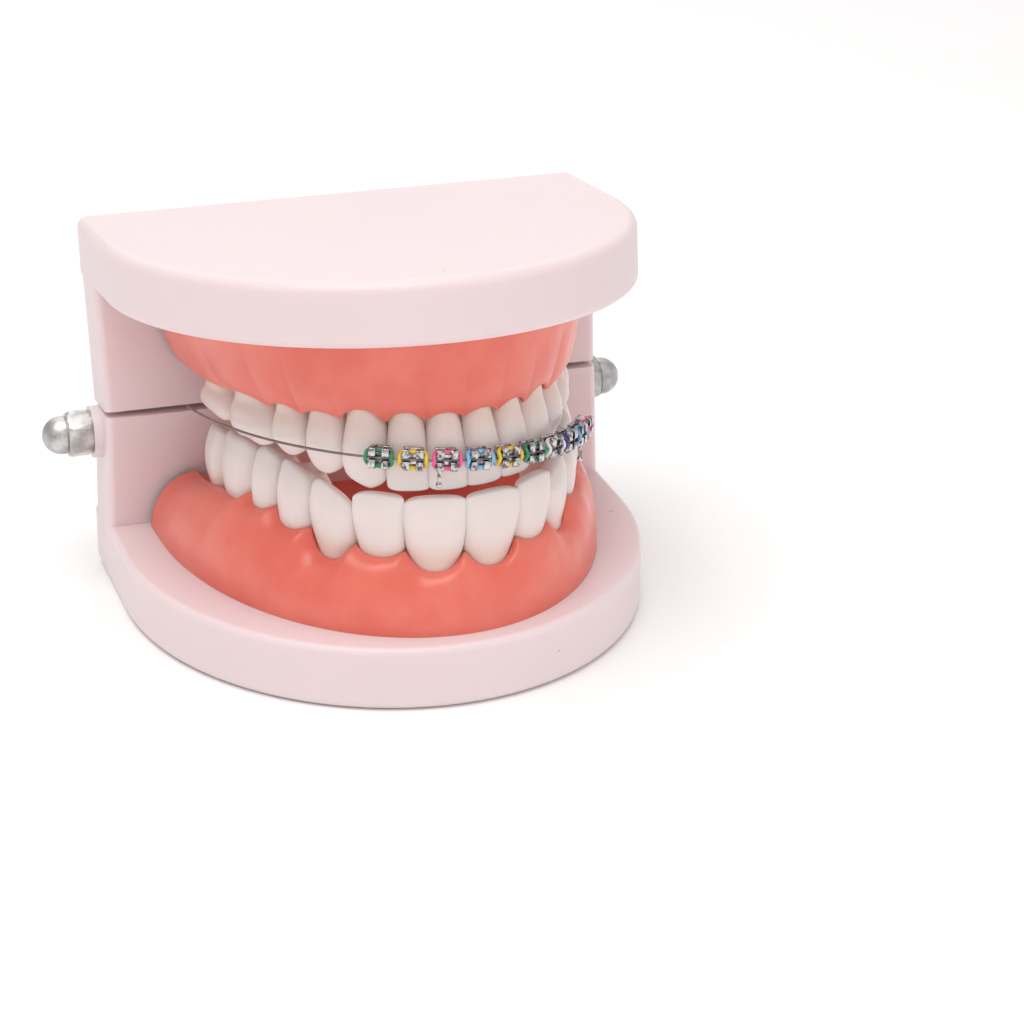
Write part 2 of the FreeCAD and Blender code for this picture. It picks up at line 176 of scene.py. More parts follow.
def close_finish(place, values):
    """Ends a material: one Principled shader with these inputs, and the output."""
    shader = place.node("BsdfPrincipled", {}, values)
    place.node("OutputMaterial", {}, {"Surface": shader})


def put_mesh(name, points, faces, material, body, nodes, turn=None, ease=35.0):
    """A smooth mesh piece, given in millimetres, that rides on a body in place of CAD nodes."""
    mesh = bpy.data.meshes.new(name)
    mesh.from_pydata((np.asarray(points, float) / 1000).tolist(), [], faces)
    mesh.materials.append(material)
    mesh.shade_smooth()
    mesh.set_sharp_from_angle(angle=math.radians(ease))
    piece = bpy.data.objects.new(name, mesh)
    scene.collection.objects.link(piece)
    if turn is not None:
        piece.matrix_world = turn
    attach(piece, body)
    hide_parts(*nodes)
    return piece


table_paint, spot = new_finish("table_paint")
close_finish(spot, {
    "Base Color": spot.grain(9.0).blend((0.96, 0.955, 0.955, 1), (0.98, 0.975, 0.975, 1)),
    "Roughness": spot.grain(60.0) * 0.1 + 0.6,
})
table_mesh = bpy.data.meshes.new("table")
table_mesh.from_pydata([(-4, -4, 0), (4, -4, 0), (4, 4, 0), (-4, 4, 0)], [], [(0, 1, 2, 3)])
table_mesh.materials.append(table_paint)
table = bpy.data.objects.new("table", table_mesh)
table_drop = 0.00002                         # keeps its face clear of the flat underside
table.location = (0, 0, cad_box[0].z - table_drop)
scene.collection.objects.link(table)

# ---- bases -----------------------------------------------------------------------------
# The two D-shaped halves are injection-moulded in a soft-looking pale pink plastic. Each is one
# piece with its back wall. The skin has a faint orange peel, with a few dark specks and scuffs.
base_plastic, spot = new_finish("base_plastic")
cloud = spot.grain(26.0, 3.0)
speck = spot.grain(520.0, 1.0).between(0.80, 0.815)
skin = cloud.blend((0.80, 0.665, 0.680, 1), (0.84, 0.715, 0.728, 1))
peel = spot.grain(620.0, 3.0, 0.6) * 0.6 + spot.grain(90.0, 2.0)
close_finish(spot, {
    "Base Color": (speck * 0.35).blend(skin, (0.30, 0.22, 0.21, 1)),
    "Roughness": spot.grain(140.0, 3.0) * 0.16 + 0.34,
    "Specular IOR Level": 0.5,
    "Subsurface Weight": 0.30,
    "Subsurface Radius": (1.0, 0.45, 0.40),
    "Subsurface Scale": 0.0035,
    "Normal": peel.bump(0.25, 0.00006),
})
for half in ("lower_base", "upper_base"):
    frame["nodes"][half].data.materials.clear()
    frame["nodes"][half].data.materials.append(base_plastic)

# ---- hinge rod and cap nuts --------------------------------------------------------------
# A zinc-plated rod runs through both walls. A cap nut closes each end: a hexagon with turned
# corners, a groove and a smaller dome. The plating is dull and mottled.
plated_zinc, spot = new_finish("plated_zinc")
mottle = spot.grain(300.0, 4.0, 0.6)
close_finish(spot, {
    "Base Color": mottle.between(0.30, 0.70).blend((0.40, 0.40, 0.395, 1), (0.72, 0.72, 0.71, 1)),
    "Metallic": 0.85,
    "Roughness": spot.grain(700.0, 3.0) * 0.35 + 0.22,
    "Normal": mottle.bump(0.3, 0.00008),
})
frame["nodes"]["hinge_rod"].data.materials.clear()
frame["nodes"]["hinge_rod"].data.materials.append(plated_zinc)
hinge = Vector(frame["joints"][0]["pos_m"]) * 1000
nut_flat, nut_corner, nut_bore = 3.5, 4.1, 2.1
dome_radius, hex_height, nut_length = 3.15, 4.0, 8.0
dome_middle = nut_length - dome_radius
# Outline of a nut as reach from its seat and radius: turned corners, hexagon, groove and dome.
nut_rings = [(0.0, nut_bore), (0.0, 3.5), (0.12, 3.62), (0.55, nut_corner),
             (hex_height - 0.55, nut_corner), (hex_height - 0.12, 3.62), (hex_height, 3.45),
             (hex_height + 0.02, 3.2), (hex_height + 0.1, 3.0), (hex_height + 0.2, 3.06),
             (hex_height + 0.35, dome_radius)]
nut_rings += [(dome_middle + dome_radius * math.sin(a), dome_radius * math.cos(a))
              for a in np.linspace(0.0, math.pi / 2 - 0.02, 14)]


def cap_nut_rings(seat, outward):
    """Points of one nut, ring by ring, from its seat to the tip of its dome."""
    turns = np.radians(np.arange(0, 360, 3.0))
    flats = nut_flat / np.cos((turns % (math.pi / 3)) - math.pi / 6)
    rings = []
    for reach, radius in nut_rings:
        edge = np.minimum(flats, radius)
        rings.append(np.column_stack([np.full_like(turns, seat + outward * reach),
                                      hinge.y + edge * np.sin(turns),
                                      hinge.z + edge * np.cos(turns)]))
    return np.array(rings)


def ring_faces(rings, around, start=0, flip=False):
    """Quads of a tube of closed rings, with a fan over its last ring."""
    faces = []
    for r in range(rings - 1):
        for k in range(around):
            a, b = start + r * around + k, start + r * around + (k + 1) % around
            faces.append((a, b, b + around, a + around))
    faces.append(tuple(start + (rings - 1) * around + k for k in range(around)))
    return [f[::-1] for f in faces] if flip else faces


nut_low, nut_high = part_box("cap_nuts")
seats = ((nut_low.x * 1000 + nut_length, -1), (nut_high.x * 1000 - nut_length, 1))
points, faces = [], []
for seat, outward in seats:
    rings = cap_nut_rings(seat, outward)
    faces += ring_faces(len(rings), rings.shape[1], len(points), outward < 0)
    points += rings.reshape(-1, 3).tolist()
put_mesh("hinge_cap_nuts", points, faces, plated_zinc, "lower_jaw", ["cap_nuts"],
         ease=24.0)

# ---- teeth ---------------------------------------------------------------------------------
# 28 moulded resin teeth, each with a straight root in a socket of its gum. The lower half has the
# wide-toothed maxillary row and the upper half the mandibular one, as the model stands upside
# down. Glossy ivory, a little warmer at the neck and more glassy at the biting edge.
arch_yaw = math.radians(2.4)
back = 36.2                                  # back face of the bases
arch_middle = back - 21.0                    # where the arch's ellipse meets its straight legs
tilt = math.radians(6.64)                    # lean of the upper half in the rest pose
ridge_gap = {"lower": 20.3, "upper": 36.3}   # shut height of the top of each gum
arches = {"lower": (29.7, 44.3, 0.7, -0.6), "upper": (30.0, 43.2, -0.3, 1.35)}
# Width, height of the biting end over the rest face, and how far the front cusp leans towards
# the middle line as a share of the width, from the middle outwards.
tooth_rows = {
    "lower": (("central", 9.8, 31.3, 0.0), ("lateral", 8.5, 31.4, 0.0), ("canine", 8.8, 31.8, -0.34),
              ("first_premolar", 8.0, 33.0, -0.28), ("second_premolar", 6.9, 33.5, -0.04),
              ("first_molar", 11.0, 32.9, 0.0), ("second_molar", 8.7, 31.0, 0.0)),
    "upper": (("central", 6.3, 32.2, 0.0), ("lateral", 6.5, 32.2, 0.0), ("canine", 7.6, 31.9, 0.05),
              ("first_premolar", 7.2, 32.8, 0.0), ("second_premolar", 7.3, 34.1, 0.0),
              ("first_molar", 12.2, 33.6, 0.0), ("second_molar", 12.0, 33.9, 0.0)),
}


def walk(half, depth, shift, stations):
    """Points, tangents and ellipse angles at lengths along an arch, and the length past its end."""
    angles = np.linspace(0.0, math.pi / 2, 4000)
    speed = np.hypot(half * np.cos(angles), depth * np.sin(angles))
    length = np.concatenate([[0.0], np.cumsum((speed[1:] + speed[:-1]) / 2 * np.diff(angles))])
    stations = np.asarray(stations, float)
    angle = np.copysign(np.interp(np.abs(stations), length, angles), stations)
    beyond = np.maximum(0.0, np.abs(stations) - length[-1])
    points = np.column_stack([shift + half * np.sin(angle),
                              arch_middle - depth * np.cos(angle) + beyond])
    tangents = np.column_stack([half * np.cos(angle), depth * np.sin(angle)])
    tangents /= np.linalg.norm(tangents, axis=1)[:, None]
    return points, tangents, angle, beyond


def to_rest(points, jaw):
    """From the plan of an arch in the shut position to its place at rest."""
    points = np.array(points, float)
    x, y = points[:, 0].copy(), points[:, 1] - back
    points[:, 0] = x * math.cos(arch_yaw) - y * math.sin(arch_yaw)
    points[:, 1] = back + x * math.sin(arch_yaw) + y * math.cos(arch_yaw)
    if jaw == "upper":
        y, z = points[:, 1] - hinge.y, points[:, 2] - hinge.z
        points[:, 1] = hinge.y + math.cos(tilt) * y + math.sin(tilt) * z
        points[:, 2] = hinge.z - math.sin(tilt) * y + math.cos(tilt) * z
    return points


def smooth_through(x, stops):
    """A soft curve through (place, value) stops."""
    px, py = np.array(stops, float).T
    slope = np.gradient(py, px)
    k = np.clip(np.searchsorted(px, x) - 1, 0, len(px) - 2)
    h = px[k + 1] - px[k]
    t = np.clip((x - px[k]) / h, 0.0, 1.0)
    return ((2 * t**3 - 3 * t**2 + 1) * py[k] + (t**3 - 2 * t**2 + t) * h * slope[k]
            + (3 * t**2 - 2 * t**3) * py[k + 1] + (t**3 - t**2) * h * slope[k + 1])


# For each kind of tooth, at the neck, the belly, three quarters up and the biting end: half width
# as a share of the width, front face and tongue side in millimetres from the arch, and how square
# the section is. Then the cusps: place along and across as shares, and height, with their slope
# and how much of it counts along the arch; and how far the near and the far corner are cut.
tooth_forms = {
    "incisor": dict(stretch=1.0, wide=(0.40, 0.465, 0.505, 0.49), front=(0.75, 0.05, 0.10, 0.55),
                    inner=(6.6, 6.4, 3.6, 2.45), square=(2.1, 2.4, 3.1, 3.8), taper=0.30, rim=0.36,
                    cusps=((0.30, 0.5, 0.0), (0.0, 0.5, 0.04), (-0.30, 0.5, -0.12)), slope=0.10,
                    corner=(0.20, 0.62)),
    "canine": dict(stretch=0.9, wide=(0.41, 0.48, 0.505, 0.43), front=(0.70, 0.0, 0.15, 1.0),
                   inner=(7.6, 7.6, 5.0, 3.0), square=(2.1, 2.2, 2.2, 2.1), taper=0.30, rim=0.7,
                   cusps=((0.04, 0.4, 0.0),), slope=0.56, corner=(0.2, 0.5)),
    "premolar": dict(stretch=0.75, wide=(0.42, 0.485, 0.505, 0.44), front=(0.75, 0.0, 0.25, 1.5),
                     inner=(8.0, 8.9, 8.4, 6.7), square=(2.2, 2.3, 2.3, 2.3), taper=0.16, rim=0.9,
                     cusps=((0.02, 0.10, 0.0), (0.04, 0.88, -1.0), (0.40, 0.5, -1.7),
                            (-0.40, 0.5, -1.8)), slope=0.62, corner=(0.2, 0.3)),
    "molar": dict(stretch=0.45, wide=(0.45, 0.495, 0.505, 0.475), front=(0.85, 0.0, 0.2, 1.1),
                  inner=(10.0, 10.8, 10.2, 8.7), square=(2.5, 2.7, 2.7, 2.7), taper=0.10, rim=0.9,
                  cusps=((0.24, 0.10, 0.0), (-0.24, 0.10, -0.5), (0.24, 0.90, -0.9),
                         (-0.24, 0.90, -1.1), (0.46, 0.5, -1.8), (-0.46, 0.5, -1.9)),
                  slope=0.62, corner=(0.2, 0.3)),
}
root_length, root_taper, around = 4.6, 0.04, 36
cusp_blend, cusp_blunt = 5.0, 0.5            # how sharply cusps meet, and how round their tips are


def crown(form, width, height, mesial, lean):
    """Points and faces of one tooth: x along the arch, y inwards, z up from the top of the gum."""
    stops = (0.0, 0.30 * height, 0.72 * height, height)
    levels = [-root_length, -0.6 * root_length, -0.2 * root_length]
    levels += [height * s for s in (0.02, 0.10, 0.19, 0.29, 0.40, 0.51, 0.62, 0.72, 0.80)]
    rim = form["rim"]
    levels += [height - rim * (1 - math.sin(a)) for a in (0.0, 0.5, 1.0, math.pi / 2)]
    insets = [0.0] * (len(levels) - 4)
    insets += [rim * (1 - math.cos(a)) for a in (0.0, 0.5, 1.0, math.pi / 2)]
    turns = np.linspace(0, 2 * math.pi, around, endpoint=False)
    rings = []
    for level, inset in zip(levels, insets):
        z = np.array([max(level, 0.0)])
        half = smooth_through(z, list(zip(stops, form["wide"])))[0] * width - inset
        front = smooth_through(z, list(zip(stops, form["front"])))[0] + inset
        inner = smooth_through(z, list(zip(stops, form["inner"])))[0] - inset
        square = smooth_through(z, list(zip(stops, form["square"])))[0]
        if level < 0:
            half *= 1.0 + root_taper * level
        across = np.sign(np.cos(turns)) * np.abs(np.cos(turns)) ** (2 / square)
        inward = (1 + np.sign(np.sin(turns)) * np.abs(np.sin(turns)) ** (2 / square)) / 2
        share = across * (1 - form["taper"] * inward)
        x = half * share / np.abs(share).max()
        y = front + (inner - front) * inward
        rings.append(np.column_stack([x, y, np.full(around, level)]))
    end_front, end_inner = form["front"][3], form["inner"][3]

    def biting_face(x, y):
        """How far the biting face lies under the tip."""
        total = 0.0
        for along, depth_share, drop in form["cusps"]:
            tip = along + (lean if drop == 0.0 else 0.0)
            dx = (x - tip * mesial * width) * form["stretch"]
            dy = y - (end_front + depth_share * (end_inner - end_front))
            away = np.sqrt(dx**2 + dy**2 + cusp_blunt**2) - cusp_blunt
            total = total + np.exp(cusp_blend * (drop - form["slope"] * away))
        side = x * mesial / (width / 2)
        corner = np.where(side > 0, form["corner"][0], form["corner"][1]) * np.abs(side) ** 4
        return np.log(total) / cusp_blend - corner

    for ring, level in zip(rings, levels):
        share = min(1.0, max(0.0, (level / height - 0.45) / 0.55))
        ring[:, 2] += biting_face(ring[:, 0], ring[:, 1]) * share * share * (3 - 2 * share)
    rim_x, rim_y = rings[-1][:, 0], rings[-1][:, 1]
    middle = (end_front + end_inner) / 2
    for share in (0.78, 0.52, 0.26, 0.04):
        x = rim_x * share
        y = middle + (rim_y - middle) * share
        rings.append(np.column_stack([x, y, height + biting_face(x, y)]))
    rings = np.array(rings)
    # two shallow grooves down the front of the crown
    fade = np.clip(rings[..., 2] / height, 0, 1) * np.clip((2.2 - rings[..., 1]) / 2.2, 0, 1)
    rings[..., 1] += 0.10 * fade * np.cos(rings[..., 0] / width * 6 * math.pi) ** 2
    faces = ring_faces(len(rings), around)
    faces.append(tuple(range(around))[::-1])
    return rings.reshape(-1, 3), faces


tooth_resin, spot = new_finish("tooth_resin")
height_up = spot.node("SeparateXYZ", {}, {0: spot}, 2)
wisp = spot.grain(260.0, 3.0)
neck = 1.0 - (height_up + wisp * 0.002).between(0.0005, 0.0055)
edge = (height_up + wisp * 0.0012).between(0.0085, 0.0125)
body_shade = wisp.blend((0.80, 0.695, 0.668, 1), (0.85, 0.755, 0.728, 1))
warm = (neck * 0.55).blend(body_shade, (0.80, 0.60, 0.50, 1))
lines = spot.node("TexWave", {"bands_direction": "Z"}, {
    "Vector": spot, "Scale": 900.0, "Distortion": 3.0, "Detail": 2.0, "Detail Scale": 1.5,
})
close_finish(spot, {
    "Base Color": (edge * 0.35).blend(warm, (0.72, 0.70, 0.70, 1)),
    "Roughness": spot.grain(500.0) * 0.12 + 0.27,
    "Subsurface Weight": 0.35,
    "Subsurface Radius": (1.0, 0.62, 0.50),
    "Subsurface Scale": 0.0032,
    "Coat Weight": 0.25,
    "Coat Roughness": 0.20,
    "Normal": (lines * 0.10 + wisp).bump(0.03, 0.00010),
})


def tooth_kind(name):
    """Kind of a tooth, from its name on one side."""
    return "incisor" if name in ("central", "lateral") else name.split("_")[-1]


def place_tooth(jaw, station, end_height):
    """Height of the crown over the gum's ridge, and the matrix that sets the tooth on its arch."""
    points, tangents = walk(*arches[jaw][:3], [station])[:2]
    ridge, up = ridge_gap[jaw], 1.0 if jaw == "lower" else -1.0
    foot = np.array([[points[0, 0], points[0, 1], ridge]])
    along = tangents[0] * up
    inward = np.array([-tangents[0, 1], tangents[0, 0]])
    spots = np.vstack([foot, foot + [along[0], along[1], 0], foot + [inward[0], inward[1], 0],
                       foot + [0, 0, up]])
    spots = to_rest(spots, jaw)
    axes = (spots[1:] - spots[0]).T
    turn = Matrix.Identity(4)
    for row in range(3):
        for column in range(3):
            turn[row][column] = axes[row, column]
        turn[row][3] = spots[0, row] / 1000
    height = (end_height - spots[0, 2]) / axes[2, 2]
    return height, turn


for jaw, row in tooth_rows.items():
    for side, sign in (("left", -1), ("right", 1)):
        reach = 0.0
        for name, width, end_height, lean in row:
            station = arches[jaw][3] + sign * (reach + width / 2)
            reach += width
            height, turn = place_tooth(jaw, station, end_height)
            form = tooth_forms[tooth_kind(name)]
            mesial = -sign if jaw == "lower" else sign
            points, faces = crown(form, width, height, mesial, lean)
            node = "%s_%s_%s" % (jaw, side, name)
            tooth = put_mesh("crown_" + node, points, faces, tooth_resin, jaw + "_jaw",
                             [node], turn, 180.0)
            softer = tooth.modifiers.new("smooth", "SUBSURF")
            softer.levels = softer.render_levels = 1

# ---- gums --------------------------------------------------------------------------------
# Each gum is one horseshoe of soft coral plastic glued to its plate and to the wall. Its edge is
# scalloped round the teeth, with a papilla between each two, and the roots show as soft bulges.
gum_coral, spot = new_finish("gum_coral")
flush = spot.grain(120.0, 3.0)
stipple = spot.grain(1500.0, 2.0, 0.6)
close_finish(spot, {
    "Base Color": flush.between(0.3, 0.7).blend((0.79, 0.152, 0.107, 1), (0.84, 0.203, 0.150, 1)),
    "Roughness": spot.grain(300.0, 2.0) * 0.16 + 0.26,
    "Subsurface Weight": 0.28,
    "Subsurface Radius": (1.0, 0.30, 0.22),
    "Subsurface Scale": 0.0030,
    "Coat Weight": 0.20,
    "Coat Roughness": 0.25,
    "Normal": (stipple * 0.35 + flush).bump(0.12, 0.00008),
})
# Ellipse of each gum's foot: half width, depth, shift and middle; then how upright its side is.
gum_feet = {"lower": (35.4, 50.6, -0.8, back - 18.0, 1.7),
            "upper": (33.7, 49.4, -0.8, back - 18.0, 1.25)}
wall_front = back - 11.0
plate_level = {"lower": 10.3, "upper": 49.9}
# Height of the gum's edge above the ridge level: at each tooth from the middle outwards, and at
# the papilla beyond it; the first number is the papilla between the central incisors.
gum_edges = {
    "lower": (1.7, (-1.2, 2.0), (0.9, 2.1), (-0.9, 3.0), (2.2, 4.4), (3.4, 4.8), (1.8, 2.6),
              (0.3, -1.2)),
    "upper": (0.1, (-1.15, 0.1), (-1.5, 0.3), (-1.9, -0.1), (-1.1, 0.0), (-1.4, -0.2),
              (-1.6, -0.8), (-1.4, -1.0)),
}
scallop = 2.4                                     # how late the edge climbs to a papilla
root_swell = {"lower": 0.34, "upper": 0.17}       # how far the roots show in the gum's outside
# From the arch to the tongue side of the gum, by the kind of tooth; then the gum on the plate,
# and how far the gum's ends run into the wall.
inner_depth = {"incisor": 6.9, "canine": 7.9, "premolar": 8.9, "molar": 10.6}
floor_thickness, wall_bite = 3.4, 1.2


def gum_plan(jaw, stations):
    """Per station: place inside its tooth from -1 to 1, height of the edge, depth to the tongue."""
    row, midline = tooth_rows[jaw], arches[jaw][3]
    place, edge, deep = [], [], []
    for station in stations:
        run = station - midline
        left = abs(run)
        papilla = gum_edges[jaw][0]
        for (name, width, *_), (low, high) in zip(row, gum_edges[jaw][1:]):
            if left <= width or name == "second_molar":
                break
            left -= width
            papilla = high
        across = min(1.0, max(-1.0, 2 * left / width - 1))
        rise = abs(across) ** scallop
        side = papilla if across < 0 else high
        place.append(across)
        edge.append(low + (side - low) * rise)
        deep.append(inner_depth[tooth_kind(name)])
    return np.array(place), np.array(edge), np.array(deep)


def soften(values, width):
    """Running average that keeps the two ends."""
    kernel = np.ones(width) / width
    return np.convolve(np.pad(values, width // 2, mode="edge"), kernel, mode="valid")[:len(values)]


def gum_mesh(jaw):
    """Grid of the gum: columns along the arch, rows from the foot over the ridge to the middle."""
    half, depth, shift = arches[jaw][:3]
    up = 1.0 if jaw == "lower" else -1.0
    ridge, plate = ridge_gap[jaw], plate_level[jaw]
    far = 200.0                                   # longer than any arch
    reach = far - walk(half, depth, shift, [far])[3][0] + (wall_front - arch_middle)
    stations = np.linspace(-reach, reach, 561)
    points, tangents, angle, beyond = walk(half, depth, shift, stations)
    normals = np.column_stack([tangents[:, 1], -tangents[:, 0]])
    across, edge, deep = gum_plan(jaw, stations)
    deep = soften(deep, 31)
    calm = np.clip((56.0 - np.abs(stations)) / 14.0, 0.0, 1.0)      # hardly any scallops at the ends
    edge = edge * calm + soften(edge, 61) * (1 - calm)
    leg = beyond / (wall_front - arch_middle)
    foot_half, foot_depth, foot_shift, foot_middle, upright = gum_feet[jaw]
    foot_y = foot_middle - foot_depth * np.cos(angle) + leg * (wall_front - foot_middle)
    foot = np.column_stack([foot_shift + foot_half * np.sin(angle), foot_y])
    crest = ridge + up * soften(edge, 3)
    papilla = np.abs(across) ** 3 * calm
    set_in = 0.25 + 0.95 * papilla                      # edge of the gum, inwards from the arch
    margin = points - normals * set_in[:, None]
    bulge = np.exp(-(across / 0.50) ** 2) - 0.42
    rows = []
    for t in np.concatenate([np.linspace(0.0, 0.90, 19), [0.95, 0.985]]):
        # a curve that leaves the foot nearly upright and comes in under the edge
        level = plate + (crest - plate) * (1 - (1 - t) ** upright)
        inwards = t ** upright
        plan = foot + (margin - foot) * inwards
        swell = root_swell[jaw] * bulge * calm
        swell = swell * np.clip((t - 0.15) / 0.45, 0, 1) * np.clip((1.06 - t) / 0.18, 0, 1)
        plan = plan + normals * swell[:, None]
        rows.append(np.column_stack([plan, level]))
    # the rolled free edge, then over the ridge between the teeth to the tongue side
    for step_in, rise in ((0.10, 0.10), (0.30, 0.16), (0.55, 0.05), (0.9, -0.5)):
        rows.append(np.column_stack([margin - normals * step_in, crest + up * rise]))
    inner_edge = ridge + up * (soften(edge, 41) - 0.3 - 0.8 * (1 - papilla))
    col = np.where(papilla > 0.5, 0.4, -0.6)          # the ridge stands up between the teeth
    for share in (0.3, 0.5, 0.7):
        level = crest * (1 - share) + inner_edge * share - up * 0.4 + up * soften(col, 5)
        rows.append(np.column_stack([points - normals * (deep * share)[:, None], level]))
    inner_line = points - normals * (deep - 0.6 * papilla)[:, None]
    rows.append(np.column_stack([inner_line, inner_edge - up * 0.15]))
    rows.append(np.column_stack([inner_line - normals * 0.25, inner_edge]))
    # down the tongue side and across the vault to the middle line
    floor = plate + up * floor_thickness
    spine_y = arch_middle + 2.0 + np.where(beyond > 0, beyond, (points[:, 1] - arch_middle) * 0.42)
    for share in np.linspace(0.0, 1.0, 19)[1:]:
        plan = inner_line - normals * 0.25
        plan = np.column_stack([shift + (plan[:, 0] - shift) * (1 - share),
                                plan[:, 1] + (spine_y - plan[:, 1]) * share])
        fall = 1 - (1 - share) ** 3.2
        level = inner_edge + (floor - inner_edge) * fall
        if jaw == "lower":
            # the palate rises towards the front, with folds beside a middle seam
            front = np.clip((arch_middle - 8.0 - plan[:, 1]) / 30.0, 0, 1)
            level = level + front * fall * 3.0
            off = np.abs(plan[:, 0] - shift)
            folds = np.clip(np.sin((plan[:, 1] + 0.35 * off) * 1.35), 0, 1) ** 2
            window = np.clip((off - 1.0) / 2.0, 0, 1) * np.clip((13.0 - off) / 4.0, 0, 1)
            zone = np.clip((-4.0 - plan[:, 1]) / 3.0, 0, 1)
            zone = zone * np.clip((plan[:, 1] + 23.0) / 3.0, 0, 1)
            seam = 0.30 * np.exp(-(off / 0.9) ** 2) * fall
            level = level + 0.55 * folds * window * zone + seam
        rows.append(np.column_stack([plan, level]))
    rows = np.array(rows)
    rows[..., 1] = np.minimum(rows[..., 1], wall_front + wall_bite)
    deep_rows, wide = rows.shape[0], rows.shape[1]
    faces = []
    for r in range(deep_rows - 1):
        for c in range(wide - 1):
            a = r * wide + c
            face = (a, a + 1, a + wide + 1, a + wide)
            faces.append(face if jaw == "lower" else face[::-1])
    return to_rest(rows.reshape(-1, 3), jaw), faces


for jaw in ("lower", "upper"):
    points, faces = gum_mesh(jaw)
    put_mesh("gum_of_" + jaw + "_half", points, faces, gum_coral, jaw + "_jaw",
             [jaw + "_gum"], ease=180.0)

# ---- archwire ----------------------------------------------------------------------------
# One bow of round spring steel wire, drawn and heat-set, that lies in the slots of the brackets.
# Its left end runs on free beside the molars. The surface is dark and finely drawn lengthwise.
wire_steel, spot = new_finish("wire_steel")
drawn = spot.grain(2600.0, 3.0)
close_finish(spot, {
    "Base Color": drawn.blend((0.16, 0.14, 0.13, 1), (0.34, 0.31, 0.29, 1)),
    "Metallic": 1.0,
    "Roughness": drawn * 0.15 + 0.25,
    "Normal": drawn.bump(0.2, 0.00002),
})
bow_half, bow_depth, bow_shift, bow_height = 32.6, 45.6, 0.5, 30.4
bow_roll, bow_pitch = math.radians(4.6), math.radians(0.6)
bracket_stations = [-13.9 + 5.16 * k for k in range(10)]       # along the wire from its middle
bow_front = np.array([bow_shift, arch_middle - bow_depth, 0.0])


def lay_bow(points):
    """From the flat plane of the bow to its place on the upper teeth at rest."""
    x, y, z = (np.array(points, float) - bow_front).T
    x, z = (x * math.cos(bow_roll) + z * math.sin(bow_roll),
            z * math.cos(bow_roll) - x * math.sin(bow_roll))
    y, z = (y * math.cos(bow_pitch) + z * math.sin(bow_pitch),
            z * math.cos(bow_pitch) - y * math.sin(bow_pitch))
    placed = np.column_stack([x, y, z]) + bow_front + [0, 0, bow_height]
    return to_rest(placed, "upper")


def tube(path, radii, sides=12, closed=False):
    """Points and faces of a round tube along a path of points."""
    path = np.asarray(path, float)
    radii = np.broadcast_to(radii, len(path))
    if closed:
        run = np.roll(path, -1, 0) - np.roll(path, 1, 0)
    else:
        run = np.gradient(path, axis=0)
    run /= np.linalg.norm(run, axis=1)[:, None]
    lead = np.array([0.0, 0.0, 1.0]) if abs(run[0, 2]) < 0.9 else np.array([1.0, 0.0, 0.0])
    points = []
    for spot_at, ahead, radius in zip(path, run, radii):
        lead = lead - ahead * np.dot(lead, ahead)
        lead = lead / np.linalg.norm(lead)
        cross = np.cross(ahead, lead)
        for k in range(sides):
            turn_at = 2 * math.pi * k / sides
            points.append(spot_at + radius * (math.cos(turn_at) * lead + math.sin(turn_at) * cross))
    faces = []
    count = len(path)
    for r in range(count if closed else count - 1):
        for k in range(sides):
            a, b = r * sides + k, r * sides + (k + 1) % sides
            c, d = ((r + 1) % count) * sides + (k + 1) % sides, ((r + 1) % count) * sides + k
            faces.append((a, b, c, d))
    if not closed:
        faces.append(tuple(range(sides))[::-1])
        faces.append(tuple((count - 1) * sides + k for k in range(sides)))
    return np.array(points), faces


wire_radius, left_end, right_end = 0.2, -60.0, bracket_stations[-1] + 8.0
wire_stations = np.linspace(left_end, right_end, 220)
wire_plan = walk(bow_half, bow_depth, bow_shift, wire_stations)[0]
wire_path = lay_bow(np.column_stack([wire_plan, np.zeros(len(wire_plan))]))
wire_radii = np.full(len(wire_path), wire_radius)
wire_radii[0] = wire_radii[-1] = 0.6 * wire_radius         # both cut ends are dressed
points, faces = tube(wire_path, wire_radii)
put_mesh("bow_of_archwire", points, faces, wire_steel, "upper_jaw", ["archwire"])

# ---- brackets ------------------------------------------------------------------------------
# Ten cast stainless twin brackets: a bonded pad, a tower with the slot for the wire, and four tie
# wings whose tips curl back. The third and the ninth carry a ball hook on a short post.
bracket_steel, spot = new_finish("bracket_steel")
# The near-black blotches in the colour are painted dark reflection on the chrome. The same noise
# also sets the roughness and the cast bumps of the surface.
cast_grain_and_painted_reflection = spot.grain(1600.0, 2.0)
close_finish(spot, {
    "Base Color": cast_grain_and_painted_reflection.between(0.36, 0.60).blend((0.13, 0.13, 0.14, 1), (0.66, 0.66, 0.66, 1)),
    "Metallic": 1.0,
    "Roughness": cast_grain_and_painted_reflection * 0.16 + 0.14,
    "Normal": cast_grain_and_painted_reflection.bump(0.25, 0.00003),
})
bracket_half, twin_half, pad_front, pad_back = 1.6, 0.5, 1.3, 1.9
# Upper half of a wing pair seen from the side, from the slot's floor round the tip to the pad.
wing_outline = ((0.35, 0.25), (-0.55, 0.25), (-0.60, 0.34), (-0.60, 1.25), (-0.50, 1.50),
                (-0.25, 1.66), (0.0, 1.70), (0.10, 1.62), (0.10, 1.10), (0.22, 0.92), (0.45, 0.86),
                (pad_front, 0.95))


def prism(outline, x0, x1):
    """A solid that fills an outline in y and z from x0 to x1."""
    count = len(outline)
    points = [(x, y, z) for x in (x0, x1) for y, z in outline]
    faces = [tuple(range(count))[::-1], tuple(range(count, 2 * count))]
    faces += [(k, (k + 1) % count, (k + 1) % count + count, k + count) for k in range(count)]
    return points, faces


